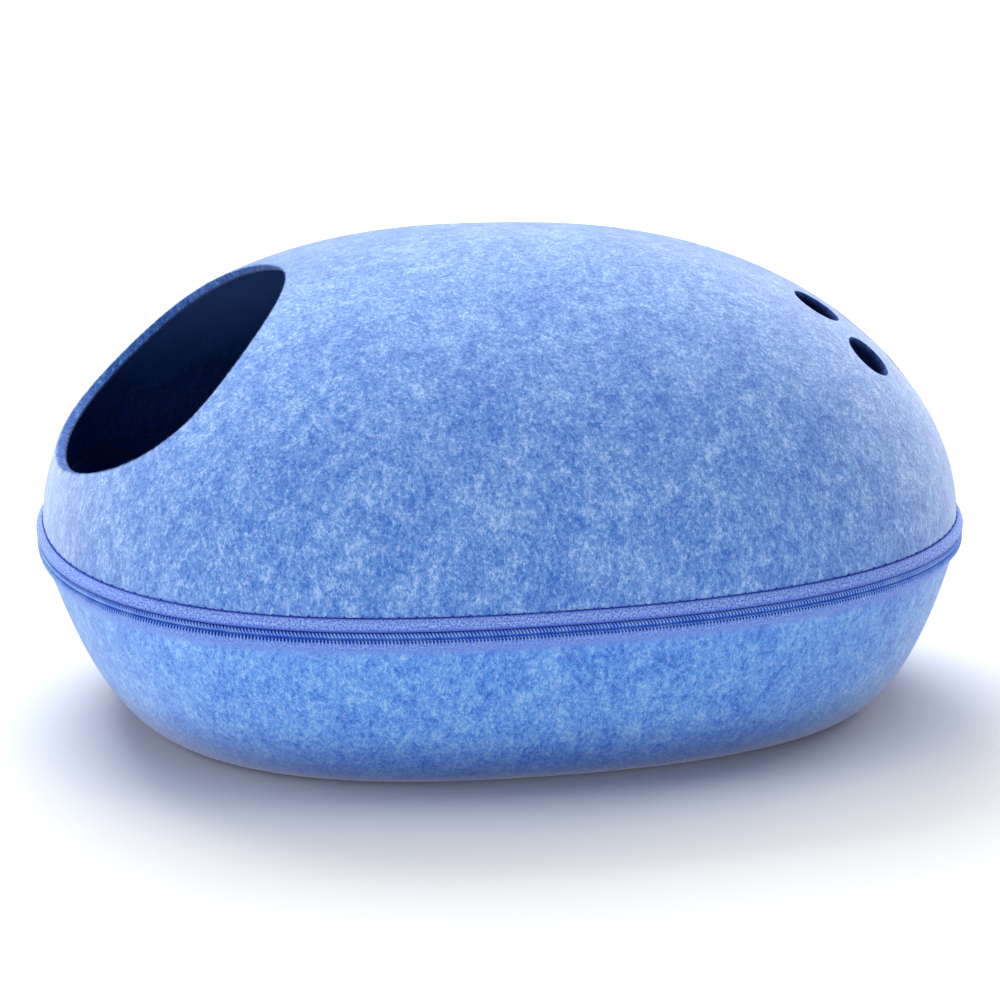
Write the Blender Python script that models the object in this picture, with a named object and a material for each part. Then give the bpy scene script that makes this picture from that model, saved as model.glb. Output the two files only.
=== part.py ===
"""Felt cat cave: a domed top shell and a shallow base shell of thick pressed felt, joined all round by a coil zip.

The top has a slanted entrance at its -X end and four round vents high on its +X end. Everything is worked out from
the felt's outline at the zip: an egg shape in plan, drawn in towards the top of the dome and the floor of the base.
Metres, +Z up, +X towards the vents. The origin is on the floor, under the middle of the outline.
"""

import math

import bmesh
import bpy
import numpy as np
from mathutils import Vector

# Outline of the felt at the zip, seen from above.
HALF_LENGTH = 0.226
HALF_WIDTH = 0.1724
OUTLINE_POWER = 2.17  # 2 is an ellipse, more is squarer
EGG_TAPER = -0.102  # share of the width gained per half length towards +X
EGG_SWELL = 0.101  # share of the width gained at both ends

# Heights, from the middle line of the zip.
ZIP_HEIGHT = 0.0883  # of that line above the floor
FELT_GAP = 0.0065  # from it up to the dome's edge
DOME_RISE = 0.1431  # from the dome's edge to its top
BASE_EDGE = -0.0122  # the base's edge
BASE_SHOULDER = -0.0065  # where the base's curve begins, under the lower tape

FELT = 0.005
TAPE = 0.0012

# How the shells draw in: a width share of (1 - t ** power) ** (1 / fullness), t from 0 at the zip to 1 at the end.
DOME_POWER = 1.885
DOME_FULLNESS_ALONG = 2.154
DOME_FULLNESS_ACROSS = 1.763
DOME_LEAN = -0.0020  # how far the top sits from the middle, along X
BASE_POWER = 1.053
BASE_FULLNESS = 2.05
FLOOR_SHARE = 0.76  # flat floor against the outline
BASE_LEAN = 0.0020

# The entrance is an egg-shaped oval, cut straight through along a direction that faces up and towards -X.
ENTRANCE_TILT = math.radians(39.5)
ENTRANCE_MIDDLE = -0.0704  # up the slope, measured from over the zip's middle
ENTRANCE_SIDE = -0.0038
ENTRANCE_HALF_LENGTH = 0.0724  # up the slope
ENTRANCE_HALF_WIDTH = 0.0872
ENTRANCE_TAPER = -0.205  # share of the width gained per half length up the slope
ENTRANCE_SKEW = -0.0050  # sideways shift per half length up the slope
ENTRANCE_POWER = 1.89

VENT_RADIUS = 0.0122
VENTS = (  # name, x, y
    ("top", 0.1545, -0.0168),
    ("near", 0.1762, -0.0407),
    ("far", 0.1803, 0.0118),
    ("low", 0.2003, -0.0008),
)

# Sections of the tapes: distance out from the felt's outer face, height from the zip's middle line.
UPPER_TAPE = (
    ("hem", -0.0062, 0.0165),
    ("fold in", -0.0062, 0.0064),
    ("turn", -0.0053, 0.0053),
    ("under the edge", -0.0012, 0.0054),
    ("flare", 0.0017, 0.0044),
    ("lip", 0.0030, 0.0016),
    ("fold back", 0.0020, 0.0001),
    ("behind the coil", -0.0004, -0.0003),
    ("edge", -0.0009, -0.0029),
)
LOWER_TAPE = (
    ("edge", -0.0009, -0.0036),
    ("behind the coil", -0.0006, -0.0056),
    ("shoulder", 0.0017, -0.0067),
    ("slope", 0.0013, -0.0092),
    ("over the edge", -0.0007, -0.0108),
    ("across", -0.0045, -0.0094),
    ("turn", -0.0065, -0.0103),
    ("hem", -0.0071, -0.0215),
)
COIL_OUT = 0.0014
COIL_HEIGHT = -0.0033
COIL_HALF_DEPTH = 0.0013
COIL_HALF_HEIGHT = 0.0023
COIL_SIDES = 8

SEGMENTS = 64
DOME_RINGS = 15
BASE_RINGS = 9
VENT_SIDES = 24
CUTTER_DEPTH = 0.04
SHORTEST_EDGE = 0.0012


def outline():
    """Points of the felt's outline and the directions out of it, at equal steps round its length."""
    angle = np.linspace(0, 2 * math.pi, 4001)
    c, s = np.cos(angle), np.sin(angle)
    along = np.sign(c) * np.abs(c) ** (2 / OUTLINE_POWER)
    width = 1 + EGG_TAPER * along + EGG_SWELL * along**2
    x = HALF_LENGTH * along
    y = HALF_WIDTH * width * np.sign(s) * np.abs(s) ** (2 / OUTLINE_POWER)
    length = np.append(0, np.cumsum(np.hypot(np.diff(x), np.diff(y))))
    steps = np.linspace(0, length[-1], SEGMENTS, endpoint=False)
    points = np.stack([np.interp(steps, length, x), np.interp(steps, length, y)], 1)
    tangent = np.roll(points, -1, 0) - np.roll(points, 1, 0)
    out = np.stack([tangent[:, 1], -tangent[:, 0]], 1)
    return points, out / np.linalg.norm(out, axis=1)[:, None]


OUTLINE, OUTWARD = outline()


def draw_in(t, power, fullness):
    return max(0.0, 1 - t**power) ** (1 / fullness)


def felt_ring(height):
    """The felt's outer face at one height from the zip's middle line, one point for each point of the outline."""
    ring = np.empty((SEGMENTS, 3))
    if height > FELT_GAP:
        t = (height - FELT_GAP) / DOME_RISE
        ring[:, 0] = OUTLINE[:, 0] * draw_in(t, DOME_POWER, DOME_FULLNESS_ALONG) + DOME_LEAN * t**2
        ring[:, 1] = OUTLINE[:, 1] * draw_in(t, DOME_POWER, DOME_FULLNESS_ACROSS)
    else:
        t = max(0.0, (BASE_SHOULDER - height) / (ZIP_HEIGHT + BASE_SHOULDER))
        share = FLOOR_SHARE + (1 - FLOOR_SHARE) * draw_in(t, BASE_POWER, BASE_FULLNESS)
        ring[:, 0] = OUTLINE[:, 0] * share + BASE_LEAN * t
        ring[:, 1] = OUTLINE[:, 1] * share
    ring[:, 2] = ZIP_HEIGHT + height
    return ring


def arc_steps(first, count):
    """Shares from first to 1 that crowd towards 1, where both shells turn over."""
    return np.sin(np.linspace(math.asin(first), math.pi / 2, count))


def material(name, colour, roughness):
    made = bpy.data.materials.new(name)
    made.use_nodes = True
    shader = made.node_tree.nodes["Principled BSDF"]
    shader.inputs["Base Color"].default_value = (*colour, 1)
    shader.inputs["Roughness"].default_value = roughness
    shader.inputs["Metallic"].default_value = 0
    return made


def add_object(name, bm, finish=None):
    mesh = bpy.data.meshes.new(name)
    bm.to_mesh(mesh)
    bm.free()
    obj = bpy.data.objects.new(name, mesh)
    bpy.context.scene.collection.objects.link(obj)
    if finish:
        mesh.materials.append(finish)
        mesh.shade_smooth()
        mesh.set_sharp_from_angle(angle=math.radians(40))
    return obj


def sheet_of(rings, middle):
    """An open sheet through the rings, closed at its last ring by a fan to the middle point."""
    bm = bmesh.new()
    rows = [[bm.verts.new(point) for point in ring] for ring in rings]
    for low, high in zip(rows, rows[1:]):
        for i in range(SEGMENTS):
            j = (i + 1) % SEGMENTS
            bm.faces.new((low[i], low[j], high[j], high[i]))
    tip = bm.verts.new(middle)
    for i in range(SEGMENTS):
        bm.faces.new((rows[-1][i], rows[-1][(i + 1) % SEGMENTS], tip))
    return bm


def thicken(obj):
    solid = obj.modifiers.new("felt thickness", "SOLIDIFY")
    solid.thickness = FELT
    solid.offset = -1
    solid.use_even_offset = True
    solid.use_quality_normals = True


def dome_skin(x, y):
    """The point of the dome's outer face over x, y and the direction straight out of it there."""

    def beyond(point):
        t = min(max((point[2] - ZIP_HEIGHT - FELT_GAP) / DOME_RISE, 0.0), 0.9999)
        along = (point[0] - DOME_LEAN * t**2) / (HALF_LENGTH * draw_in(t, DOME_POWER, DOME_FULLNESS_ALONG))
        width = HALF_WIDTH * (1 + EGG_TAPER * along + EGG_SWELL * along**2)
        across = point[1] / (width * draw_in(t, DOME_POWER, DOME_FULLNESS_ACROSS))
        return abs(along) ** OUTLINE_POWER + abs(across) ** OUTLINE_POWER - 1

    low, high = ZIP_HEIGHT + FELT_GAP, ZIP_HEIGHT + FELT_GAP + DOME_RISE
    for _ in range(40):
        middle = (low + high) / 2
        if beyond((x, y, middle)) < 0:
            low = middle
        else:
            high = middle
    point = Vector((x, y, low))
    step = 1e-4
    slope = [beyond(point + step * axis) - beyond(point - step * axis) for axis in map(Vector, np.eye(3))]
    return point, Vector(slope).normalized()


def entrance_share(along, across):
    """How far out of the oval a place on the slope is: 1 on its edge, less within it."""
    up = (along - ENTRANCE_MIDDLE) / ENTRANCE_HALF_LENGTH
    side = (across - ENTRANCE_SIDE - ENTRANCE_SKEW * up) / (ENTRANCE_HALF_WIDTH * max(0.1, 1 + ENTRANCE_TAPER * up))
    return (abs(up) ** ENTRANCE_POWER + abs(side) ** ENTRANCE_POWER) ** (1 / ENTRANCE_POWER)


def trim_entrance(bm):
    """Cuts the oval out of the dome: each point's height over the slope gives way to its share, for a flat cut at 1."""
    facing = Vector((-math.sin(ENTRANCE_TILT), 0, math.cos(ENTRANCE_TILT)))
    slope = Vector((math.cos(ENTRANCE_TILT), 0, math.sin(ENTRANCE_TILT)))
    middle = Vector((0, 0, ZIP_HEIGHT))
    height = bm.verts.layers.float.new("height")
    for vert in bm.verts:
        local = vert.co - middle
        vert[height] = local.dot(facing)
        vert.co = (local.dot(slope), local.y, entrance_share(local.dot(slope), local.y))
    bmesh.ops.bisect_plane(
        bm,
        geom=bm.verts[:] + bm.edges[:] + bm.faces[:],
        plane_co=(0, 0, 1),
        plane_no=(0, 0, -1),
        clear_outer=True,
    )
    for vert in bm.verts:
        vert.co = middle + slope * vert.co.x + Vector((0, vert.co.y, 0)) + facing * vert[height]
    bm.verts.layers.float.remove(height)
    bmesh.ops.remove_doubles(bm, verts=bm.verts, dist=SHORTEST_EDGE)


def make_dome(finish):
    heights = [FELT_GAP + DOME_RISE * t for t in arc_steps(0, DOME_RINGS + 1)]
    bm = sheet_of([felt_ring(h) for h in heights[:-1]], (DOME_LEAN, 0, ZIP_HEIGHT + heights[-1]))
    trim_entrance(bm)
    dome = add_object("felt_dome", bm, finish)
    thicken(dome)
    for name, x, y in VENTS:
        point, outward = dome_skin(x, y)
        punch = bmesh.new()
        bmesh.ops.create_cone(
            punch,
            cap_ends=True,
            segments=VENT_SIDES,
            radius1=VENT_RADIUS,
            radius2=VENT_RADIUS,
            depth=CUTTER_DEPTH,
        )
        cutter = add_object(f"vent_punch_{name}", punch)
        cutter.location = point
        cutter.rotation_mode = "QUATERNION"
        cutter.rotation_quaternion = outward.to_track_quat("Z", "Y")
        cutter.hide_render = True
        cutter.display_type = "WIRE"
        cut = dome.modifiers.new(f"vent {name}", "BOOLEAN")
        cut.operation = "DIFFERENCE"
        cut.object = cutter
    return dome


def make_base(finish):
    depth = ZIP_HEIGHT + BASE_SHOULDER
    edge = (BASE_SHOULDER - BASE_EDGE) / depth
    rings = [felt_ring(BASE_SHOULDER - depth * t) for t in arc_steps(edge, BASE_RINGS)]
    middle = np.array([BASE_LEAN, 0, 0])
    rings.append((rings[-1] + middle) / 2)
    bm = sheet_of(rings, middle)
    bmesh.ops.reverse_faces(bm, faces=bm.faces)
    base = add_object("felt_base", bm, finish)
    thicken(base)
    return base


def ring_of(name, section, finish):
    """A closed band: the section, as (out, height) points in order, carried round the felt's outline."""
    bm = bmesh.new()
    rows = []
    for out, height in section:
        ring = felt_ring(height)
        ring[:, :2] += out * OUTWARD
        rows.append([bm.verts.new(point) for point in ring])
    for first, second in zip(rows, rows[1:] + rows[:1]):
        for i in range(SEGMENTS):
            j = (i + 1) % SEGMENTS
            bm.faces.new((first[i], first[j], second[j], second[i]))
    bmesh.ops.recalc_face_normals(bm, faces=bm.faces)
    return add_object(name, bm, finish)


def tape_section(table):
    """Both faces of a tape: each point of its middle line moved half the thickness either way across it."""
    line = np.array([(out, height) for _, out, height in table])
    steps = np.diff(line, axis=0)
    steps /= np.linalg.norm(steps, axis=1)[:, None]
    across = np.stack([-steps[:, 1], steps[:, 0]], 1)
    before, after = across[[0, *range(len(across))]], across[[*range(len(across)), -1]]
    mitre = before + after
    mitre /= (mitre * after).sum(1)[:, None]
    return np.concatenate([line + mitre * TAPE / 2, (line - mitre * TAPE / 2)[::-1]])


def coil_section():
    angles = (np.arange(COIL_SIDES) + 0.5) * 2 * math.pi / COIL_SIDES
    return np.stack(
        [COIL_OUT + COIL_HALF_DEPTH * np.cos(angles), COIL_HEIGHT + COIL_HALF_HEIGHT * np.sin(angles)], 1
    )


def main():
    for obj in list(bpy.data.objects):
        bpy.data.objects.remove(obj, do_unlink=True)
    make_dome(material("dome felt", (0.24, 0.42, 0.85), 0.95))
    make_base(material("base felt", (0.22, 0.40, 0.83), 0.95))
    ring_of("upper_zip_tape", tape_section(UPPER_TAPE), material("upper tape weave", (0.20, 0.27, 0.80), 0.8))
    ring_of("lower_zip_tape", tape_section(LOWER_TAPE), material("lower tape weave", (0.20, 0.27, 0.80), 0.8))
    ring_of("zip_coil", coil_section(), material("coil nylon", (0.04, 0.09, 0.50), 0.45))


main()
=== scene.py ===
# Felt cat cave: a domed felt top and a shallow felt base, zipped together all round.
# Metres, +Z up, +X towards the vents. The origin is on the floor, under the middle of the outline.
import math

import bpy
import numpy as np
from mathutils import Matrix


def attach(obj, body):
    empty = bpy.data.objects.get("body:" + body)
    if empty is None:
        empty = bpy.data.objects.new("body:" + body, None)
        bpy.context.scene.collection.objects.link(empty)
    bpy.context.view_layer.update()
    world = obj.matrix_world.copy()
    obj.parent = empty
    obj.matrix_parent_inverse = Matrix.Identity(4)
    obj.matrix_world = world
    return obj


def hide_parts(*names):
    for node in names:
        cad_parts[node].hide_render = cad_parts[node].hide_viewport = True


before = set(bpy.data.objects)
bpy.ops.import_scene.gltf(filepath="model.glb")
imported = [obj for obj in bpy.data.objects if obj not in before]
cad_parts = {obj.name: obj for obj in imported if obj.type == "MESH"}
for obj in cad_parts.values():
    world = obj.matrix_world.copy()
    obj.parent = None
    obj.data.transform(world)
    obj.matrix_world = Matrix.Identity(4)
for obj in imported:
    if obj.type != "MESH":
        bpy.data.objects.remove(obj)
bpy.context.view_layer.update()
print("frame loaded")

cave = {
    "halfLength": 0.226,
    "halfWidth": 0.1724,
    "outlinePower": 2.17,  # 2 is an ellipse, more is squarer
    "outlineSteps": 12001,
    "eggTaper": -0.102,  # share of the width gained towards +X and lost towards -X
    "eggSwell": 0.101,  # share of the width gained towards both ends
    "zipHeight": 0.0883,
    "domeEdge": 0.0065,  # height from the zip's middle line, as the base's shoulder is
    "domeRise": 0.1431,
    "domePower": 1.885,  # more keeps the sides upright for longer
    "fullnessAlong": 2.154,  # more is squarer at the top
    "fullnessAcross": 1.763,
    "domeLean": -0.0020,  # shift of the top along X
    "baseShoulder": -0.0065,
    "basePower": 1.053,
    "baseFullness": 2.05,
    "floorShare": 0.76,  # size of the floor's outline beside the zip's
    "baseLean": 0.0020,
    "felt": 0.005,
    "edgeSteps": 5,  # points round each corner of a cut edge
}


def tabulateOutline():
    # Superellipse: x and y are the cosine and the sine to the power 2/outlinePower, with their signs kept.
    # The width tapers along X and swells at both ends. Gives shares of the way round, points, directions
    # outwards and the length.
    angle = np.linspace(0, 2 * np.pi, cave["outlineSteps"])
    c, s = np.cos(angle), np.sin(angle)
    power = 2 / cave["outlinePower"]
    along = np.sign(c) * np.abs(c) ** power
    width = 1 + cave["eggTaper"] * along + cave["eggSwell"] * along**2
    across = cave["halfWidth"] * width * np.sign(s) * np.abs(s) ** power
    plan = np.stack([cave["halfLength"] * along, across])
    length = np.append(0, np.cumsum(np.hypot(*np.diff(plan))))
    tangent = np.gradient(plan, length, axis=1)
    out = np.stack([tangent[1], -tangent[0]]) / np.hypot(*tangent)
    return length / length[-1], plan, out, length[-1]


outlineShare, outlinePlan, outlineOut, outlineLength = tabulateOutline()


def readOutline(table, share):
    # Points or directions of the outline at shares of the way round it.
    share = np.mod(share, 1)
    return np.stack([np.interp(share, outlineShare, row) for row in table], -1)


def drawIn(t, power, fullness):
    # (1 - t^power)^(1/fullness), which falls from 1 at t = 0 to 0 at t = 1.
    return (1 - np.clip(t, 0, 1) ** power) ** (1 / fullness)


def feltPoint(share, height):
    # Outer face of the felt: the outline drawn in, with t from 0 at the zip to 1 at the dome's top or at the
    # floor, where floorShare of the outline is left. Height is from the zip's middle line.
    share, height = np.broadcast_arrays(share, height)
    up = (height - cave["domeEdge"]) / cave["domeRise"]
    down = (cave["baseShoulder"] - height) / (cave["zipHeight"] + cave["baseShoulder"])
    floor = cave["floorShare"]
    base = floor + (1 - floor) * drawIn(down, cave["basePower"], cave["baseFullness"])
    along = np.where(up > 0, drawIn(up, cave["domePower"], cave["fullnessAlong"]), base)
    across = np.where(up > 0, drawIn(up, cave["domePower"], cave["fullnessAcross"]), base)
    lean = cave["domeLean"] * np.clip(up, 0, 1) ** 2 + cave["baseLean"] * np.clip(down, 0, 1)
    plan = readOutline(outlinePlan, share)
    return np.stack([plan[..., 0] * along + lean, plan[..., 1] * across, cave["zipHeight"] + height], -1)


def unit(vectors):
    return vectors / np.maximum(np.linalg.norm(vectors, axis=-1, keepdims=True), 1e-12)


def gridQuads(rows, columns):
    # Quads between neighbouring rows of points, the last column joined to the first.
    row, column = np.meshgrid(np.arange(rows - 1), np.arange(columns), indexing="ij")
    beside = (column + 1) % columns
    corners = [row * columns + column, row * columns + beside, (row + 1) * columns + beside]
    return np.stack([*corners, (row + 1) * columns + column], -1).reshape(-1, 4)


def fanTriangles(first, columns, tip):
    # Triangles from a row of points, whose first index is given, to one tip.
    column = np.arange(columns)
    return np.stack([first + column, first + (column + 1) % columns, np.full(columns, tip)], -1)


def vertexNormals(points, faceSets):
    # Sum of the normals of the faces round each point, each as long as twice its face's area.
    total = np.zeros_like(points)
    for faces in faceSets:
        across = points[faces[:, 2]] - points[faces[:, 0]]
        normal = np.cross(across, points[faces[:, -1]] - points[faces[:, 1]])
        for corner in range(faces.shape[1]):
            np.add.at(total, faces[:, corner], normal)
    return unit(total)


def openEdges(faceSets, count):
    # First and last points of the edges that only one face uses, in that face's direction.
    starts = np.concatenate([faces.ravel() for faces in faceSets])
    ends = np.concatenate([np.roll(faces, -1, 1).ravel() for faces in faceSets])
    single = ~np.isin(starts * count + ends, ends * count + starts)
    return starts[single], ends[single]


def addPiece(name, points, faceSets, materials, slots=None):
    mesh = bpy.data.meshes.new(name)
    mesh.from_pydata(points.tolist(), [], [face for faces in faceSets for face in faces.tolist()])
    for material in materials:
        mesh.materials.append(material)
    if slots is not None:
        mesh.polygons.foreach_set("material_index", slots.astype(np.int32))
    mesh.shade_smooth()
    piece = bpy.data.objects.new(name, mesh)
    bpy.context.scene.collection.objects.link(piece)
    return piece


def readTriangles(mesh):
    # Corners of every triangle, and the triangles' material slots.
    mesh.calc_loop_triangles()
    places = np.empty(len(mesh.vertices) * 3)
    corners = np.empty(len(mesh.loop_triangles) * 3, np.int32)
    slots = np.empty(len(mesh.loop_triangles), np.int32)
    mesh.vertices.foreach_get("co", places)
    mesh.loop_triangles.foreach_get("vertices", corners)
    mesh.loop_triangles.foreach_get("material_index", slots)
    return places.reshape(-1, 3)[corners.reshape(-1, 3)], slots


def turnedOut(piece):
    # Turns every face round if the closed mesh encloses a negative volume.
    triangles, _ = readTriangles(piece.data)
    if np.linalg.det(triangles).sum() < 0:
        piece.data.flip_normals()
    return piece


def fillSockets(tree, node, inputs):
    # Links what comes from another node, and sets a plain value on the node's own socket.
    for key, value in inputs.items():
        if isinstance(value, bpy.types.NodeSocket):
            tree.links.new(value, node.inputs[key])
        else:
            node.inputs[key].default_value = value


def addNode(tree, kind, inputs=None, **settings):
    node = tree.nodes.new(kind)
    for key, value in settings.items():
        setattr(node, key, value)
    fillSockets(tree, node, inputs or {})
    return node


def mathNode(tree, operation, *values):
    return addNode(tree, "ShaderNodeMath", dict(enumerate(values)), operation=operation).outputs[0]


def mixColours(tree, share, first, second):
    node = addNode(tree, "ShaderNodeMix", {0: share, 6: first, 7: second}, data_type="RGBA")
    return node.outputs[2]


def rangeNode(tree, value, low, high, toLow=0.0, toHigh=1.0):
    inputs = {"Value": value, "From Min": low, "From Max": high, "To Min": toLow, "To Max": toHigh}
    return addNode(tree, "ShaderNodeMapRange", inputs, interpolation_type="SMOOTHSTEP").outputs[0]


def noiseNode(tree, place, scale, detail, roughness, distortion=0.0):
    inputs = {"Vector": place, "Scale": scale, "Detail": detail}
    inputs |= {"Roughness": roughness, "Distortion": distortion}
    return addNode(tree, "ShaderNodeTexNoise", inputs).outputs["Fac"]


def addGroup(tree, group, inputs):
    return addNode(tree, "ShaderNodeGroup", inputs, node_tree=group).outputs


def newGroup(name, inputs, outputs):
    group = bpy.data.node_groups.new(name, "ShaderNodeTree")
    for direction, sockets in (("INPUT", inputs), ("OUTPUT", outputs)):
        for label, kind in sockets:
            group.interface.new_socket(label, in_out=direction, socket_type=f"NodeSocket{kind}")
    return group, group.nodes.new("NodeGroupInput").outputs, group.nodes.new("NodeGroupOutput").inputs


def newMaterial(name):
    material = bpy.data.materials.new(name)
    material.use_nodes = True
    return material, material.node_tree


def finishShader(tree, colour, bump, look):
    normal = addNode(tree, "ShaderNodeBump", bump).outputs["Normal"]
    fillSockets(tree, tree.nodes["Principled BSDF"], {"Base Color": colour, "Normal": normal, **look})


heatherMix = {
    "drawn": (1.0, 1.0, 0.6),  # under 1 draws the pattern out along that axis
    "grain": {  # noise scale, detail, roughness and distortion, then its weight in the tone
        "clouds": ((40.0, 2.0, 0.6, 0.0), 0.32),
        "mottle": ((150.0, 2.0, 0.8, 0.3), 0.74),
        "flecks": ((560.0, 2.0, 1.0, 0.4), 1.22),
        "specks": ((1500.0, 1.0, 0.9, 0.0), 0.4),
    },
    "toneStart": -0.84,
    "deepToMiddle": (0.22, 0.52),
    "middleToPale": (0.48, 0.82),
    "hairs": (620.0, 2.0, 0.8, 0.6),
    "hairRange": (0.58, 0.72, 0.0, 0.7),
    "speckHeight": 0.5,
}


def makeHeather():
    # Needled felt of deep, middle and pale fibres. Its tone is a weighted sum of noises, from soft clouds to
    # fine specks, drawn out upwards as the sides were when the shell was pressed. Blush hairs lie over it.
    colours = [(label, "Color") for label in ("Deep", "Middle", "Pale", "Blush")]
    outputs = [("Colour", "Color"), ("Height", "Float")]
    group, given, made = newGroup("heather felt", [("Place", "Vector"), *colours], outputs)
    mapping = {"Vector": given["Place"], "Scale": heatherMix["drawn"]}
    drawn = addNode(group, "ShaderNodeMapping", mapping).outputs[0]
    grain, tone = {}, heatherMix["toneStart"]
    for label, (noise, weight) in heatherMix["grain"].items():
        grain[label] = noiseNode(group, drawn, *noise)
        tone = mathNode(group, "MULTIPLY_ADD", grain[label], weight, tone)
    middle = rangeNode(group, tone, *heatherMix["deepToMiddle"])
    pale = rangeNode(group, tone, *heatherMix["middleToPale"])
    hairs = rangeNode(group, noiseNode(group, drawn, *heatherMix["hairs"]), *heatherMix["hairRange"])
    mixed = mixColours(group, middle, given["Deep"], given["Middle"])
    mixed = mixColours(group, pale, mixed, given["Pale"])
    group.links.new(mixColours(group, hairs, mixed, given["Blush"]), made["Colour"])
    height = mathNode(group, "MULTIPLY_ADD", grain["specks"], heatherMix["speckHeight"], grain["flecks"])
    group.links.new(height, made["Height"])
    return group


heather = makeHeather()

# A felt's shifts turn it towards another colour, by height in metres, or by depth from 0 on its outer face
# to 1 on its inner one. "share" is how much of the colour there is at either end of the range.
felts = {
    "dome": {
        "shades": {
            "Deep": (0.038, 0.155, 0.61),
            "Middle": (0.130, 0.315, 0.77),
            "Pale": (0.41, 0.62, 0.96),
            "Blush": (0.52, 0.54, 0.92),
        },
        "sheen": 0.74,
        "fuzz": 0.0008,
        "shifts": [],
    },
    "base": {
        "shades": {
            "Deep": (0.039, 0.172, 0.71),
            "Middle": (0.126, 0.362, 0.91),
            "Pale": (0.35, 0.63, 0.97),
            "Blush": (0.44, 0.54, 0.94),
        },
        "sheen": 0.6,
        "fuzz": 0.0008,
        "shifts": [
            # Painted shade: the base darkens towards the floor, where its wall turns under into shadow.
            {"colour": (0.006, 0.050, 0.32), "by": "height", "range": (0.002, 0.038), "share": (0.7, 0.0)},
            {"colour": (0.185, 0.30, 0.82), "by": "height", "range": (0.0735, 0.0785), "share": (0.0, 0.8)},
        ],
    },
    "cut": {
        "shades": {
            "Deep": (0.018, 0.075, 0.32),
            "Middle": (0.050, 0.155, 0.52),
            "Pale": (0.17, 0.34, 0.76),
            "Blush": (0.14, 0.20, 0.50),
        },
        "sheen": 0.2,
        "fuzz": 0.0008,
        "shifts": [
            # Painted shade: the cut darkens towards its inner face as it turns into the shadow inside the
            # cave.
            {"colour": (0.006, 0.026, 0.15), "by": "depth", "range": (0.70, 0.95), "share": (0.0, 1.0)},
        ],
    },
    # Painted shade: the vent walls are this felt in shadow, darker than the cut felt and darkening to near
    # black from the outer face inwards.
    "vent": {
        "shades": {
            "Deep": (0.012, 0.032, 0.17),
            "Middle": (0.028, 0.070, 0.30),
            "Pale": (0.07, 0.15, 0.46),
            "Blush": (0.06, 0.10, 0.34),
        },
        "sheen": 0.0,
        "fuzz": 0.0006,
        "shifts": [
            {"colour": (0.003, 0.012, 0.07), "by": "depth", "range": (0.05, 0.65), "share": (0.0, 1.0)},
        ],
    },
    # Painted shade: the inside of the cave is this felt darkened as it lies in shadow, with painted light
    # making it lighter towards the top, between heights of 0.130 and 0.210.
    "inside": {
        "shades": {
            "Deep": (0.0060, 0.031, 0.14),
            "Middle": (0.0110, 0.054, 0.24),
            "Pale": (0.026, 0.10, 0.37),
            "Blush": (0.018, 0.06, 0.32),
        },
        "sheen": 0.0,
        "fuzz": 0.0006,
        "shifts": [
            {"colour": (0.11, 0.27, 0.72), "by": "height", "range": (0.130, 0.210), "share": (0.0, 1.0)},
        ],
    },
}


def feltMaterial(name, felt):
    material, tree = newMaterial(f"{name} felt")
    place = addNode(tree, "ShaderNodeTexCoord").outputs["Object"]
    shades = {label: (*shade, 1) for label, shade in felt["shades"].items()}
    pattern = addGroup(tree, heather, {"Place": place, **shades})
    colour = pattern["Colour"]
    for shift in felt["shifts"]:
        if shift["by"] == "height":
            way = addNode(tree, "ShaderNodeSeparateXYZ", {"Vector": place}).outputs["Z"]
        else:
            way = addNode(tree, "ShaderNodeAttribute", attribute_name="depth").outputs["Fac"]
        share = rangeNode(tree, way, *shift["range"], *shift["share"])
        colour = mixColours(tree, share, colour, (*shift["colour"], 1))
    bump = {"Height": pattern["Height"], "Distance": felt["fuzz"], "Strength": 0.6}
    look = {
        "Roughness": 0.95,
        "Specular IOR Level": 0.1,
        "Sheen Weight": felt["sheen"],
        "Sheen Roughness": 0.5,
        "Sheen Tint": (0.95, 0.97, 1.0, 1),
    }
    finishShader(tree, colour, bump, look)
    return material


domeFelt, baseFelt, cutFelt, ventShadeFelt, insideShadeFelt = (feltMaterial(*felt) for felt in felts.items())

weave = {
    "slant": (3700.0, 2900.0),  # radians a metre along the tape and across it
    "rows": 5700.0,  # radians a metre across
    "rowShare": (0.7, 0.3),  # what a row's rise adds to the floats, and what is always there
    "uneven": (1000.0, 3.0, 0.9),  # noise scale, detail and roughness
    "unevenShade": 3.8,
    "floatShade": 0.22,
    "shadeStart": -1.6,
    "darkToMiddle": (0.0, 0.35),
    "middleToLight": (0.3, 0.85),
    "unevenHeight": 0.4,
    "fade": 0.0006,  # distance over which the floats fade out at a selvedge
    "under": (-0.0020, 0.0014),  # where the tape turns under, beside the floats' last edge, and takes its fold colour: on the upper tape, painted shade under the lip
}


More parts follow.
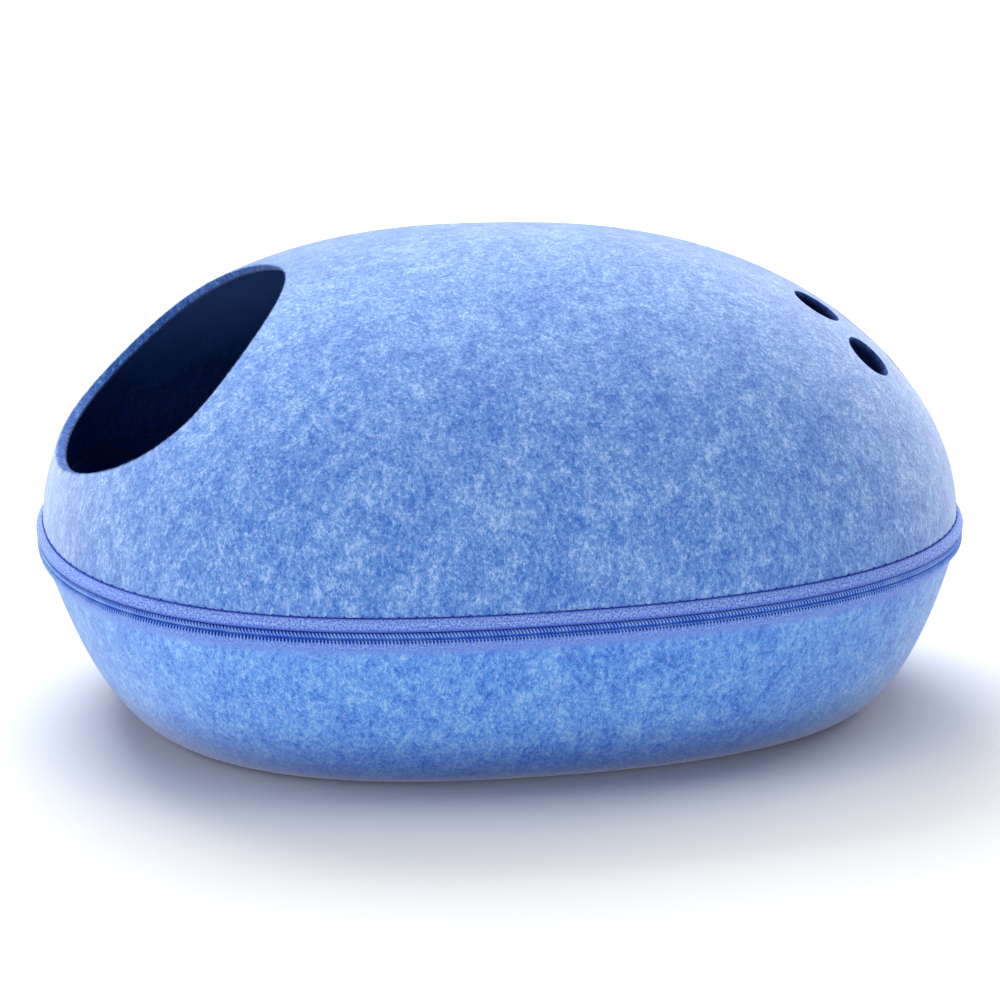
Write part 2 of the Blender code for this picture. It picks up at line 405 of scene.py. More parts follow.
def makeTapeWeave():
    # Woven tape: floats rise as sin(a * along + b * across), in rows that rise as sin(c * across), both
    # scaled to 0 to 1, between plain selvedges. Each thread is a little uneven.
    colours = [(label, "Color") for label in ("Thread Light", "Thread Middle", "Thread Dark")]
    inputs = [("Threads", "Vector"), ("Plain", "Float"), *colours]
    group, given, made = newGroup("tape weave", inputs, [("Colour", "Color"), ("Height", "Float")])
    axes = addNode(group, "ShaderNodeSeparateXYZ", {"Vector": given["Threads"]}).outputs
    along, across = weave["slant"]
    slant = mathNode(group, "MULTIPLY_ADD", axes["X"], along, mathNode(group, "MULTIPLY", axes["Y"], across))
    floats = mathNode(group, "MULTIPLY_ADD", mathNode(group, "SINE", slant), 0.5, 0.5)
    rows = mathNode(group, "SINE", mathNode(group, "MULTIPLY", axes["Y"], weave["rows"]))
    rows = mathNode(group, "MULTIPLY_ADD", rows, 0.5, 0.5)
    raised = mathNode(group, "MULTIPLY", floats, mathNode(group, "MULTIPLY_ADD", rows, *weave["rowShare"]))
    raised = mathNode(group, "MULTIPLY", raised, mathNode(group, "SUBTRACT", 1.0, given["Plain"]))
    uneven = noiseNode(group, given["Threads"], *weave["uneven"])
    shade = mathNode(group, "MULTIPLY_ADD", raised, weave["floatShade"], weave["shadeStart"])
    shade = mathNode(group, "MULTIPLY_ADD", uneven, weave["unevenShade"], shade)
    middle = rangeNode(group, shade, *weave["darkToMiddle"])
    light = rangeNode(group, shade, *weave["middleToLight"])
    mixed = mixColours(group, middle, given["Thread Dark"], given["Thread Middle"])
    group.links.new(mixColours(group, light, mixed, given["Thread Light"]), made["Colour"])
    height = mathNode(group, "MULTIPLY_ADD", uneven, weave["unevenHeight"], raised)
    group.links.new(height, made["Height"])
    return group


tapeWeave = makeTapeWeave()

tapeCloths = {  # "floats": the distances across the tape between which its pale floats show
    "upper tape": {
        "shades": {
            "Thread Light": (0.46, 0.64, 1.0),
            "Thread Middle": (0.180, 0.315, 0.87),
            "Thread Dark": (0.075, 0.15, 0.70),
        },
        # painted shade: the dark line under the tape's lip, where it turns under over the coil
        "under": (0.025, 0.085, 0.60),
        "floats": (0.0170, 0.0222),
        "sheen": 0.2,
    },
    "lower tape": {
        "shades": {
            "Thread Light": (0.38, 0.55, 0.96),
            "Thread Middle": (0.178, 0.31, 0.82),
            "Thread Dark": (0.095, 0.195, 0.70),
        },
        "under": (0.178, 0.31, 0.82),
        "floats": (0.05, 0.05),  # past its hem, so it shows none
        "sheen": 0.2,
    },
    # Painted shade: the tape's hems inside the cave, darkened as they lie in shadow.
    "shaded tape inside": {
        "shades": {
            "Thread Light": (0.026, 0.10, 0.38),
            "Thread Middle": (0.016, 0.060, 0.25),
            "Thread Dark": (0.009, 0.033, 0.15),
        },
        "under": (0.016, 0.060, 0.25),
        "floats": (0.0, 0.05),
        "sheen": 0.0,
    },
}


def tapeMaterial(name, cloth):
    # The floats fade out within the selvedges, and past them the tape turns under, in its fold colour, which
    # on the upper tape is painted shade under its lip.
    material, tree = newMaterial(name)
    threads = addNode(tree, "ShaderNodeUVMap", uv_map="threads").outputs[0]
    across = addNode(tree, "ShaderNodeSeparateXYZ", {"Vector": threads}).outputs["Y"]
    begin, end = cloth["floats"]
    before = rangeNode(tree, across, begin, begin + weave["fade"], 1.0, 0.0)
    after = rangeNode(tree, across, end - weave["fade"], end)
    shades = {label: (*shade, 1) for label, shade in cloth["shades"].items()}
    plain = mathNode(tree, "MAXIMUM", before, after)
    pattern = addGroup(tree, tapeWeave, {"Threads": threads, "Plain": plain, **shades})
    under = rangeNode(tree, across, end + weave["under"][0], end + weave["under"][1])
    colour = mixColours(tree, under, pattern["Colour"], (*cloth["under"], 1))
    bump = {"Height": pattern["Height"], "Distance": 0.00025, "Strength": 0.7}
    look = {
        "Roughness": 0.7,
        "Specular IOR Level": cloth["sheen"],
        "Sheen Weight": cloth["sheen"],
        "Sheen Roughness": 0.4,
    }
    finishShader(tree, colour, bump, look)
    return material


upperTape, lowerTape, insideShadeTape = (tapeMaterial(*cloth) for cloth in tapeCloths.items())

nylon = {
    "mottle": (900.0, 3.0, 0.7),  # noise scale, detail and roughness
    "spells": (110.0, 2.0, 0.7),
    "spellStrength": 1.6,
    "shadeRange": (0.3, 0.8),
    "darkening": 1.5,  # power of the colour that gives its darker shade
    "glossRange": (0.3, 0.7),
    "glossChange": 0.08,
    "threads": {  # colour, roughness
        "coil nylon": ((0.34, 0.54, 0.97), 0.2),
        "cord nylon": ((0.028, 0.16, 0.64), 0.6),
        "shaded nylon": ((0.008, 0.055, 0.50), 0.6),
        "seam thread": ((0.010, 0.080, 0.56), 0.6),
    },
}


def nylonMaterial(name, colour, roughness):
    # Dyed nylon with a fine mottle in its colour and gloss, and longer lighter and darker spells.
    material, tree = newMaterial(name)
    place = addNode(tree, "ShaderNodeTexCoord").outputs["Object"]
    mottle = noiseNode(tree, place, *nylon["mottle"])
    strength, change = nylon["spellStrength"], nylon["glossChange"]
    spells = noiseNode(tree, place, *nylon["spells"])
    spells = mathNode(tree, "MULTIPLY_ADD", spells, strength, -strength / 2)
    darker = tuple(part ** nylon["darkening"] for part in colour)
    share = rangeNode(tree, mathNode(tree, "ADD", mottle, spells), *nylon["shadeRange"])
    shade = mixColours(tree, share, (*darker, 1), (*colour, 1))
    gloss = rangeNode(tree, mottle, *nylon["glossRange"], roughness - change, roughness + change)
    bump = {"Height": mottle, "Distance": 0.0001, "Strength": 0.4}
    finishShader(tree, shade, bump, {"Roughness": gloss, "Specular IOR Level": 0.35})
    return material


coilNylon, cordNylon, shadedNylon, seamThread = (
    nylonMaterial(name, *look) for name, look in nylon["threads"].items()
)
print("materials made")

feltSlots = {"outside": 0, "cut": 1, "inside": 2, "vent": 3}


def cutEdge(points, normals, starts, ends, edgeRound, lean):
    # Rows of points through the felt along its open edges: a quarter turn of radius edgeRound from the outer
    # face, and another to the inner one. Gives the rim's points, where each edge's two ends are among them,
    # the rows and their depths.
    rim, first = np.unique(starts, return_inverse=True)
    last = np.searchsorted(rim, ends)
    outOfCloth = unit(np.cross(points[ends] - points[starts], normals[starts]))
    away = np.zeros((len(rim), 3))
    np.add.at(away, first, outOfCloth)
    np.add.at(away, last, outOfCloth)
    turn = np.linspace(0, np.pi / 2, cave["edgeSteps"])
    bulge = np.concatenate([np.sin(turn)[1:], np.cos(turn)[:-1]]) * edgeRound
    outer, inner = edgeRound * (1 - np.cos(turn))[1:], cave["felt"] - edgeRound * (1 - np.sin(turn))[:-1]
    depth = np.concatenate([outer, inner])
    through = lean[rim] / cave["felt"] - normals[rim]
    strip = points[rim] + bulge[:, None, None] * unit(away) + depth[:, None, None] * through
    return rim, first, last, strip, depth


def feltWall(name, points, faceSets, edgeRound, outsideFelt, lean):
    # Outer sheet, the same sheet moved in by the felt's thickness and the cut's lean, and the cut edges that
    # join them. The depth attribute is 0 on the outer face and 1 on the inner one.
    count = len(points)
    normals = vertexNormals(points, faceSets)
    inner = points - cave["felt"] * normals + lean
    starts, ends = openEdges(faceSets, count)
    rim, first, last, strip, depth = cutEdge(points, normals, starts, ends, edgeRound, lean)
    between = 2 * count + np.arange(strip.shape[0] * len(rim)).reshape(-1, len(rim))
    rows = np.concatenate([rim[None], between, rim[None] + count])
    low, high = rows[:-1], rows[1:]
    stripQuads = np.stack([low[:, last], low[:, first], high[:, first], high[:, last]], -1).reshape(-1, 4)
    allPoints = np.concatenate([points, inner, strip.reshape(-1, 3)])
    insideSets = [faces[:, ::-1] + count for faces in faceSets]
    slots = [np.full(len(faces), feltSlots["outside"]) for faces in faceSets]
    slots += [np.full(len(faces), feltSlots["inside"]) for faces in insideSets]
    middles = allPoints[stripQuads].mean(1)
    # The vents' edges are the only ones at +X and well above the zip.
    inVent = (middles[:, 0] > 0) & (middles[:, 2] > cave["zipHeight"] + 2 * cave["domeEdge"])
    facesOut = np.arange(len(low))[:, None] < cave["edgeSteps"] - 2
    edgeSlots = np.where(facesOut, feltSlots["outside"], feltSlots["cut"])
    edgeSlots = np.where(inVent.reshape(-1, len(starts)), feltSlots["vent"], edgeSlots)
    slots = np.concatenate([*slots, edgeSlots.ravel()])
    materials = [outsideFelt, cutFelt, insideShadeFelt, ventShadeFelt]
    piece = addPiece(name, allPoints, [*faceSets, *insideSets, stripQuads], materials, slots)
    share = np.concatenate([np.zeros(count), np.ones(count), np.repeat(depth / cave["felt"], len(rim))])
    piece.data.attributes.new("depth", "FLOAT", "POINT").data.foreach_set("value", share.astype(np.float32))
    return piece


entrance = {  # an egg-shaped oval on the slope that faces up and towards -X
    "tilt": math.radians(39.5),
    "middle": -0.0704,  # up the slope, measured from over the zip's middle
    "side": -0.0038,
    "halfLength": 0.0724,  # up the slope
    "halfWidth": 0.0872,
    "taper": -0.205,  # share of the width gained by the upper end
    "narrowest": 0.1,  # least share of the width
    "skew": -0.0050,  # sideways shift by the upper end
    "power": 1.89,
    "lean": (0.0017, 0.0013),  # up the slope, the first midway and both together at the upper end
    "leanSpread": 0.15,
}
vents = {
    "radius": 0.0122,
    "places": {  # x, y
        "top": (0.1545, -0.0168),
        "near": (0.1762, -0.0407),
        "far": (0.1803, 0.0118),
        "low": (0.2003, -0.0008),
    },
    "probe": 0.0005,  # distance over which the dome's slope is measured
}
dome = {
    "columns": 440,
    "rows": 108,
    "edge": 0.0060,  # height from the zip's middle line, as the base's is
    "edgeRound": 0.0008,
    "lastRow": 0.985,  # share of the quarter turn to the top, which a fan closes
    "halvings": 40,
    "slides": 8,
    "slideProbe": 1e-5,
}


def domeHeight(x, y):
    # Height of the dome's outer face over x, y, by halving the interval in which the outline is crossed.
    low, high = np.zeros_like(x), np.full_like(x, cave["domeRise"])
    for _ in range(dome["halvings"]):
        middle = (low + high) / 2
        t = middle / cave["domeRise"]
        reach = cave["halfLength"] * drawIn(t, cave["domePower"], cave["fullnessAlong"])
        along = (x - cave["domeLean"] * t**2) / reach
        width = cave["halfWidth"] * (1 + cave["eggTaper"] * along + cave["eggSwell"] * along**2)
        across = y / (width * drawIn(t, cave["domePower"], cave["fullnessAcross"]))
        inside = np.abs(along) ** cave["outlinePower"] + np.abs(across) ** cave["outlinePower"] < 1
        low, high = np.where(inside, middle, low), np.where(inside, high, middle)
    return cave["zipHeight"] + cave["domeEdge"] + low


def ventAxis(x, y):
    # A vent's middle on the dome, and the dome's outward direction there, from the heights beside it.
    step = vents["probe"]
    around = domeHeight(np.array([x, x + step, x - step, x, x]), np.array([y, y, y, y + step, y - step]))
    slope = np.array([around[2] - around[1], around[4] - around[3], 2 * step])
    return np.array([x, y, around[0]]), unit(slope)


ventAxes = [ventAxis(*place) for place in vents["places"].values()]
upSlope = np.array([math.cos(entrance["tilt"]), 0, math.sin(entrance["tilt"])])


def upEntrance(points):
    # Place along the oval: -1 at its lower end, 1 at its upper end.
    along = (points - np.array([0, 0, cave["zipHeight"]])) @ upSlope
    return (along - entrance["middle"]) / entrance["halfLength"]


def entranceShare(points):
    # 1 on the oval's edge, less within it: the superellipse (up^power + side^power)^(1/power).
    up, power = upEntrance(points), entrance["power"]
    width = entrance["halfWidth"] * np.maximum(entrance["narrowest"], 1 + entrance["taper"] * up)
    side = (points[..., 1] - entrance["side"] - entrance["skew"] * up) / width
    return (np.abs(up) ** power + np.abs(side) ** power) ** (1 / power)


def entranceLean(points):
    # The cut's lean, dying away over the felt around the entrance as exp(-((share - 1) / spread)^2).
    midway, more = entrance["lean"]
    size = midway + more * np.clip(upEntrance(points), -1, 1)
    size *= np.exp(-(((entranceShare(points) - 1) / entrance["leanSpread"]) ** 2))
    return size[:, None] * upSlope


def holeDepth(points, margin):
    # Above 0 inside the entrance or a vent's round punch, and below 0 on the felt that stays.
    depths = [(1 - entranceShare(points)) * entrance["halfLength"] + margin]
    for middle, axis in ventAxes:
        offset = points - middle
        radial = offset - (offset @ axis)[..., None] * axis
        depths.append(vents["radius"] + margin - np.linalg.norm(radial, axis=-1))
    return np.maximum.reduce(depths)


def domePoint(share, turn):
    # The dome's outer face: as turn runs from 0 to 1, the height rises as the sine of a quarter turn.
    first = dome["edge"] + dome["edgeRound"]
    rise = cave["domeEdge"] + cave["domeRise"] - first
    return feltPoint(share, first + rise * np.sin(turn * np.pi / 2))


def slideToHole(share, turn, margin):
    # Moves points over the dome, along the steepest way, until they lie on the edge of a hole.
    step = dome["slideProbe"]
    for _ in range(dome["slides"]):
        here = domePoint(share, turn)
        depth = holeDepth(here, margin)
        moves = []
        for other in (domePoint(share + step, turn), domePoint(share, turn + step)):
            size = np.linalg.norm(other - here, axis=-1)
            moves.append(((holeDepth(other, margin) - depth) / size, step / size))
        (slopeShare, shareStep), (slopeTurn, turnStep) = moves
        reach = -depth / (slopeShare**2 + slopeTurn**2)
        share = share + reach * slopeShare * shareStep
        turn = turn + reach * slopeTurn * turnStep
    return share, turn


def makeDome():
    # Rows of points round the dome, with a fan at the top. The quads in a hole are left out, and the ragged
    # rim that they leave slides onto the hole's edge.
    columns, rows = dome["columns"], dome["rows"]
    share, turn = np.meshgrid(np.arange(columns) / columns, np.linspace(0, dome["lastRow"], rows))
    share, turn = share.ravel(), turn.ravel()
    points = domePoint(share, turn)
    quads = gridQuads(rows, columns)
    quads = quads[holeDepth(points, dome["edgeRound"])[quads].mean(1) < 0]
    rim = np.unique(openEdges([quads], len(points))[0])
    rim = rim[(rim >= columns) & (rim < (rows - 1) * columns)]
    points[rim] = domePoint(*slideToHole(share[rim], turn[rim], dome["edgeRound"]))
    top = [cave["domeLean"], 0, cave["zipHeight"] + cave["domeEdge"] + cave["domeRise"]]
    points = np.concatenate([points, [top]])
    fan = fanTriangles((rows - 1) * columns, columns, len(points) - 1)
    used, faces = np.unique(np.concatenate([quads.ravel(), fan.ravel()]), return_inverse=True)
    faceSets = [faces[: quads.size].reshape(-1, 4), faces[quads.size :].reshape(-1, 3)]
    points = points[used]
    return feltWall("dome_shell", points, faceSets, dome["edgeRound"], domeFelt, entranceLean(points))


base = {"columns": 440, "wallRows": 50, "floorRows": 12, "edge": -0.0100, "edgeRound": 0.0004}


def makeBase():
    # Rows of points down the wall, spaced as the sine of a quarter turn, and on to the middle of the floor.
    columns, depth = base["columns"], cave["zipHeight"] + cave["baseShoulder"]
    first = (cave["baseShoulder"] - base["edge"] + base["edgeRound"]) / depth
    t = np.sin(np.linspace(math.asin(first), np.pi / 2, base["wallRows"]))
    share = np.arange(columns) / columns
    wall = feltPoint(share[None], (cave["baseShoulder"] - depth * t)[:, None])
    middle = np.array([cave["baseLean"], 0, 0])
    inwards = np.linspace(1, 0, base["floorRows"] + 1)[1:-1, None, None]
    floor = middle + (wall[-1:] - middle) * inwards
    points = np.concatenate([wall.reshape(-1, 3), floor.reshape(-1, 3), [middle]])
    rows = base["wallRows"] + len(floor)
    fan = fanTriangles((rows - 1) * columns, columns, len(points) - 1)
    faceSets = [gridQuads(rows, columns)[:, ::-1], fan[:, ::-1]]
    return feltWall("base_shell", points, faceSets, base["edgeRound"], baseFelt, np.zeros_like(points))


domeShell = makeDome()
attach(domeShell, "root")
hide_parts("felt_dome")
baseShell = makeBase()
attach(baseShell, "root")
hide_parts("felt_base")
print("felt shells made")

tapes = {
    "thickness": 0.0012,
    "columns": 560,
    # distance out from the felt's outer face, height from the zip's middle line
    "upper": (
        (-0.0062, 0.0165),
        (-0.0062, 0.0064),
        (-0.0053, 0.0053),
        (-0.0012, 0.0054),
        (0.0017, 0.0044),
        (0.0030, 0.0016),
        (0.0020, 0.0001),
        (-0.0004, -0.0003),
        (-0.0009, -0.0029),
    ),
    "lower": (
        (-0.0009, -0.0036),
        (-0.0006, -0.0056),
        (0.0015, -0.0067),
        (0.0011, -0.0084),
        (0.0003, -0.0098),
        (-0.0014, -0.0107),
        (-0.0045, -0.0094),
        (-0.0065, -0.0103),
        (-0.0071, -0.0215),
    ),
    "hiddenBehind": -0.0035,  # further in than this, the weave is in the tape inside colours, painted shade inside the cave
}


def softened(line):
    # Corner cutting: each span gives a point a quarter and one three quarters of the way along it.
    spans = np.stack([0.75 * line[:-1] + 0.25 * line[1:], 0.25 * line[:-1] + 0.75 * line[1:]], 1)
    return np.concatenate([line[:1], spans.reshape(-1, 2), line[-1:]])


def bothFaces(line, thickness):
    # The line moved to either side by half the thickness, mitred at its corners, as one closed outline.
    steps = unit(np.diff(line, axis=0))
    across = np.stack([-steps[:, 1], steps[:, 0]], 1)
    before, after = across[[0, *range(len(across))]], across[[*range(len(across)), -1]]
    mitre = before + after
    mitre /= (mitre * after).sum(1)[:, None]
    return np.concatenate([line + mitre * thickness / 2, (line - mitre * thickness / 2)[::-1]])


def carryRound(section, share):
    # The section, as out and height, carried round the felt's outline.
    points = feltPoint(share[None], section[:, 1, None])
    out = readOutline(outlineOut, share)
    points[..., :2] += section[:, 0, None, None] * out[None]
    return points


def makeTape(name, line, material):
    # The rounded line with its thickness, carried round the felt. The threads map is in metres, along and
    # across the tape.
    line = softened(softened(np.array(line)))
    section = bothFaces(line, tapes["thickness"])
    rows, columns = len(section), tapes["columns"]
    points = carryRound(section, np.arange(columns) / columns).reshape(-1, 3)
    quads = gridQuads(rows + 1, columns) % (rows * columns)
    middle = (section[:, 0] + np.roll(section[:, 0], -1)) / 2
    # Further in than hiddenBehind the tape takes its second material, painted shade.
    slots = np.repeat(np.where(middle < tapes["hiddenBehind"], 1, 0), columns)
    piece = addPiece(name, points, [quads], [material, insideShadeTape], slots)
    across = np.append(0, np.cumsum(np.linalg.norm(np.diff(line, axis=0), axis=1)))
    across = np.concatenate([across, across[::-1], across[:1]])
    row, column = np.meshgrid(np.arange(rows), np.arange(columns), indexing="ij")
    u = np.stack([column, column + 1, column + 1, column], -1) * outlineLength / columns
    v = across[np.stack([row, row, row + 1, row + 1], -1)]
    threads = piece.data.uv_layers.new(name="threads")
    threads.uv.foreach_set("vector", np.stack([u, v], -1).astype(np.float32).ravel())
    return turnedOut(piece)


upperBand = makeTape("upper_tape_band", tapes["upper"], upperTape)
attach(upperBand, "root")
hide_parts("upper_zip_tape")
lowerBand = makeTape("lower_tape_band", tapes["lower"], lowerTape)
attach(lowerBand, "root")
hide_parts("lower_zip_tape")
print("tapes made")

coil = {
    "turns": 764,
    "steps": 10,  # points a turn
    "sides": 5,
    "runs": (  # height, half height, distance out and half depth of the turns, wire's radius, lean, phase
        (-0.0021, 0.0010, 0.0017, 0.0009, 0.00040, 0.0002, 0.0),
        (-0.0056, 0.0011, 0.0018, 0.0008, 0.00038, -0.0002, 0.5),
    ),
    "cords": (  # height, half height, distance out, half depth
        (-0.0030, 0.0017, 0.0010, 0.0007),
        (-0.0056, 0.0011, 0.0009, 0.0006),
    ),
    "cordSides": 12,
}


def tubeAlong(path, radius, sides, aside):
    # A closed tube: circles of the given radius round the path, square to it.
    ahead = unit(np.roll(path, -1, 0) - np.roll(path, 1, 0))
    first = unit(np.cross(ahead, aside))
    second = np.cross(ahead, first)
    angle = np.arange(sides) * 2 * np.pi / sides
    radius = np.broadcast_to(radius, len(path))[:, None, None]
    ring = np.cos(angle)[:, None] * first[:, None] + np.sin(angle)[:, None] * second[:, None]
    points = path[:, None] + radius * ring
    row, side = np.meshgrid(np.arange(len(path)), np.arange(sides), indexing="ij")
    nextRow, nextSide = (row + 1) % len(path), (side + 1) % sides
    row, nextRow = row * sides, nextRow * sides
    corners = [row + side, row + nextSide, nextRow + nextSide, nextRow + side]
    return points.reshape(-1, 3), np.stack(corners, -1).reshape(-1, 4)


def coilRun(height, halfHeight, out, halfDepth, wire, lean, phase):
    # A flattened screw line round the zip: the sine of its angle gives the height, and the cosine how far
    # out it is. The sine also moves it along, which leans the turns.
    count = coil["turns"] * coil["steps"]
    share = np.arange(count) / count
    angle = 2 * np.pi * (share * coil["turns"] + phase)
    share = share + lean * np.sin(angle) / outlineLength
    normal = readOutline(outlineOut, share)
    path = feltPoint(share, height - halfHeight * np.sin(angle))
    path[:, :2] += (out + halfDepth * np.cos(angle))[:, None] * normal
    aside = np.stack([-normal[:, 1], normal[:, 0], 0 * share], -1)
    return tubeAlong(path, wire, coil["sides"], aside)


def fillerCord(height, halfHeight, out, halfDepth):
    # The soft cord that the turns are wound over: an oval carried round behind them.
    sides, columns = coil["cordSides"], tapes["columns"]
    angle = np.arange(sides) * 2 * np.pi / sides
    section = np.stack([out + halfDepth * np.cos(angle), height + halfHeight * np.sin(angle)], 1)
    points = carryRound(section, np.arange(columns) / columns)
    return points.reshape(-1, 3), gridQuads(sides + 1, columns) % (sides * columns)


def makeCoil():
    runs = [*(coilRun(*run) for run in coil["runs"]), *(fillerCord(*cord) for cord in coil["cords"])]
    starts = np.append(0, np.cumsum([len(points) for points, _ in runs]))
    faceSets = [quads + start for (_, quads), start in zip(runs, starts)]
    # The second cord is in shaded nylon: painted shade, dark in the gaps between the lower turns.
    slots = np.repeat([0, 0, 1, 2], [len(quads) for quads in faceSets])
    points = np.concatenate([points for points, _ in runs])
    materials = [coilNylon, cordNylon, shadedNylon]
    return turnedOut(addPiece("zip_coil_turns", points, faceSets, materials, slots))


coilTurns = makeCoil()
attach(coilTurns, "root")
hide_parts("zip_coil")
print("coil made")

seam = {
    "stitches": 306,
    "steps": 12,  # points a stitch
    "sides": 6,
    "radius": 0.00035,
    "out": 0.0001,
    "height": 0.0057,
    "knot": 0.0009,  # how far a knot climbs
    "knotOut": 0.0002,
    "knotPower": 6,  # more makes the knots narrower
    "uneven": 0.3,  # every other knot climbs less, by twice this share
    "swell": (0.85, 0.4),  # radius between knots, and what a knot adds, as shares
}


def makeSeamStitches():
    # Dark thread in the corner under the dome's edge. At each stitch a knot climbs the felt, as a high power
    # of the cosine.
    count = seam["stitches"] * seam["steps"]
    share = np.arange(count) / count
    beat = np.clip(np.cos(2 * np.pi * share * seam["stitches"]), 0, 1) ** seam["knotPower"]
    climb = beat * (1 - seam["uneven"] + seam["uneven"] * np.cos(np.pi * share * seam["stitches"]))
    normal = readOutline(outlineOut, share)
    path = feltPoint(share, seam["height"] + seam["knot"] * climb)
    path[:, :2] += (seam["out"] + seam["knotOut"] * climb)[:, None] * normal
    aside = np.stack([normal[:, 0], normal[:, 1], 0 * share], -1)
    thin, more = seam["swell"]
    points, quads = tubeAlong(path, seam["radius"] * (thin + more * climb), seam["sides"], aside)
    return turnedOut(addPiece("seam_stitches", points, [quads], [seamThread]))


stitches = makeSeamStitches()
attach(stitches, "root")
print("stitches made")

fuzz = {
    "radius": 0.00005,
    "sunk": 0.0001,
    "clear": 0.004,  # height of the lowest fibre's root above the floor
    "lip": 0.014,  # share of the entrance's size that counts as its lip
    "lift": (0.15, 0.7),  # 0 lies along the felt, 1 stands up from it
    "length": (0.0005, 0.0013),
    "knee": 0.55,  # share of the length before the bend
    "kneeRadius": 0.8,  # share of the radius left there
    "bend": 0.9,
    "dome": {"seed": 5, "flat": 6000, "rim": 7000, "lip": 4500},
    "base": {"seed": 6, "flat": 6500, "rim": 3500, "lip": 0},
}


def chooseRoots(shell, amounts, random):
    # Random points on the shell's outer face, its cut edges and the entrance's lip, with triangles chosen by
    # area, and the felt's outward direction there.
    triangles, slots = readTriangles(shell.data)
    facing = np.cross(triangles[:, 1] - triangles[:, 0], triangles[:, 2] - triangles[:, 0])
    area = np.linalg.norm(facing, axis=1)
    outside = slots == feltSlots["outside"]
    wanted = {
        "flat": outside & (triangles[:, :, 2].min(1) > fuzz["clear"]),
        "rim": slots == feltSlots["cut"],
        "lip": outside & (np.abs(entranceShare(triangles.mean(1)) - 1) < fuzz["lip"]),
    }
    chosen = []
    for part, there in wanted.items():
        if amounts[part]:
            weight = area * there
            chosen.append(random.choice(len(area), amounts[part], p=weight / weight.sum()))
    chosen = np.concatenate(chosen)
    share = random.dirichlet((1, 1, 1), len(chosen))
    return (triangles[chosen] * share[..., None]).sum(1), unit(facing[chosen])


def makeFuzz(name, shell, amounts):
    # Loose fibres: three-sided spikes with a bend on the way, closed at the foot, leaning at random.
    random = np.random.default_rng(amounts["seed"])
    root, normal = chooseRoots(shell, amounts, random)
    root = root - fuzz["sunk"] * normal
    count = len(root)
    aside = unit(np.cross(normal, random.normal(size=(count, 3))))
    lift = random.uniform(*fuzz["lift"], (count, 1))
    length = random.uniform(*fuzz["length"], (count, 1))
    ahead = unit(lift * normal + (1 - lift) * aside)
    onwards = unit(ahead + fuzz["bend"] * unit(random.normal(size=(count, 3))))
    first = unit(np.cross(ahead, normal + 0.1 * aside))  # a little aside, as a fibre may stand straight up
    second = np.cross(ahead, first)
    sides = 3
    angle = np.arange(sides) * 2 * np.pi / sides
    ring = np.cos(angle)[:, None] * first[:, None] + np.sin(angle)[:, None] * second[:, None]
    ring *= fuzz["radius"]
    middle = root + fuzz["knee"] * length * ahead
    tip = middle + (1 - fuzz["knee"]) * length * onwards
    knee = middle[:, None] + fuzz["kneeRadius"] * ring
    points = np.concatenate([root[:, None] + ring, knee, tip[:, None]], 1)
    start = points.shape[1] * np.arange(count)[:, None, None]
    side, after = np.arange(sides), (np.arange(sides) + 1) % sides
    quads = (start + np.stack([side, after, after + sides, side + sides], -1)).reshape(-1, 4)
    caps = (start + np.stack([side + sides, after + sides, np.full(sides, 2 * sides)], -1)).reshape(-1, 3)
    feet = (start + np.array([[0, 2, 1]])).reshape(-1, 3)
    return turnedOut(addPiece(name, points.reshape(-1, 3), [quads, caps, feet], [shell.data.materials[0]]))


domeFuzz = makeFuzz("dome_fuzz", domeShell, fuzz["dome"])
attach(domeFuzz, "root")
baseFuzz = makeFuzz("base_fuzz", baseShell, fuzz["base"])
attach(baseFuzz, "root")
print("fuzz made")

studio = {
    "floorReach": 9.0,
    "floorHeight": -0.0004,
    "floorGrey": 0.80,
    "world": 0.10,
    "aim": (0, 0, 0.12),
    "lights": {  # place, size, power in watts
        "overhead": ((0.0, 0.5, 2.4), (2.6, 2.6), 51.0),
        "behind": ((-0.4, 1.8, 2.0), (1.8, 1.2), 58.0),
        "left": ((-2.2, 0.2, 0.9), (1.8, 1.6), 19.0),
        "right": ((2.0, 1.6, 0.8), (1.6, 1.4), 41.0),
        "front": ((-0.4, -2.4, 0.45), (2.0, 0.8), 22.0),
    },
}
camera = {
    "azimuth": -8.0,  # degrees, 0 looks along +Y
    "elevation": 15.90,
    "distance": 3.164,
    "fieldOfView": 8.944,
    "target": (-0.0004, 0, 0.1003),
    "farthest": 60,
}


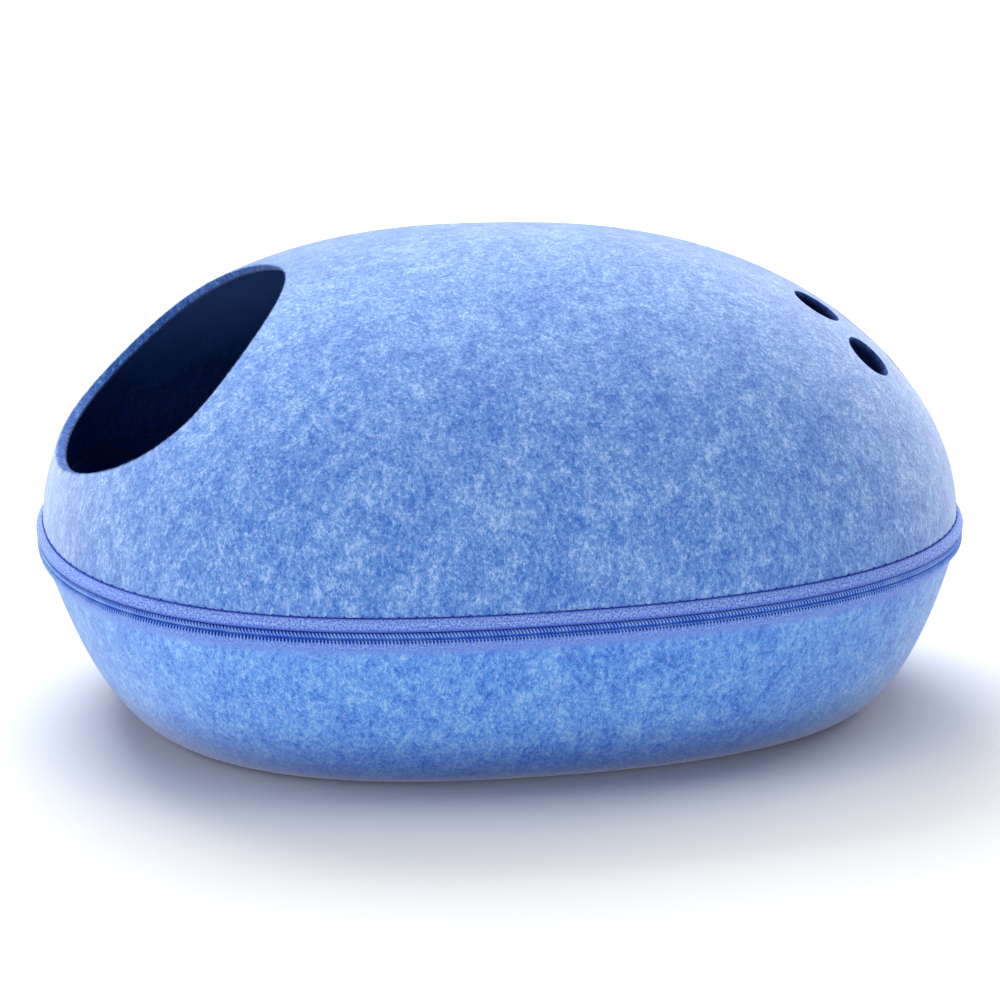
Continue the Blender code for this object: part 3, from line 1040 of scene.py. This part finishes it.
def makeStage():
    reach, height, grey = studio["floorReach"], studio["floorHeight"], studio["floorGrey"]
    corners = [(x * reach, y * reach, height) for x, y in ((-1, -1), (1, -1), (1, 1), (-1, 1))]
    mesh = bpy.data.meshes.new("floor")
    mesh.from_pydata(corners, [], [(0, 1, 2, 3)])
    material, tree = newMaterial("pale floor")
    look = {"Base Color": (grey, grey, grey, 1), "Roughness": 0.9, "Specular IOR Level": 0.0}
    fillSockets(tree, tree.nodes["Principled BSDF"], look)
    mesh.materials.append(material)
    floor = bpy.data.objects.new("floor", mesh)
    bpy.context.scene.collection.objects.link(floor)


def aim(item, target):
    # Turns a light or the camera, which look along their own -Z, towards the target.
    x, y, z = np.array(target) - np.array(item.location)
    item.rotation_euler = (math.atan2(math.hypot(x, y), -z), 0, math.atan2(-x, y))


def makeLights():
    for name, (place, size, power) in studio["lights"].items():
        light = bpy.data.lights.new(name, "AREA")
        light.shape = "RECTANGLE"
        light.size, light.size_y = size
        light.energy = power
        lamp = bpy.data.objects.new(name, light)
        lamp.location = place
        bpy.context.scene.collection.objects.link(lamp)
        aim(lamp, studio["aim"])
    world = bpy.data.worlds.new("studio")
    world.use_nodes = True
    background = world.node_tree.nodes["Background"]
    fillSockets(world.node_tree, background, {"Color": (1, 1, 1, 1), "Strength": studio["world"]})
    bpy.context.scene.world = world


def makeCamera():
    lens = bpy.data.cameras.new("camera")
    lens.sensor_fit = "HORIZONTAL"
    lens.lens = lens.sensor_width / 2 / math.tan(math.radians(camera["fieldOfView"]) / 2)
    lens.clip_end = camera["farthest"]
    seen = bpy.data.objects.new("camera", lens)
    azimuth, elevation = math.radians(camera["azimuth"]), math.radians(camera["elevation"])
    level = math.cos(elevation)
    back = np.array([math.sin(azimuth) * level, -math.cos(azimuth) * level, math.sin(elevation)])
    seen.location = np.array(camera["target"]) + camera["distance"] * back
    aim(seen, camera["target"])
    bpy.context.scene.collection.objects.link(seen)
    bpy.context.scene.camera = seen


makeStage()
makeLights()
makeCamera()
bpy.context.scene.view_settings.view_transform = "Standard"
bpy.context.scene.view_settings.look = "None"

print("scene ready")
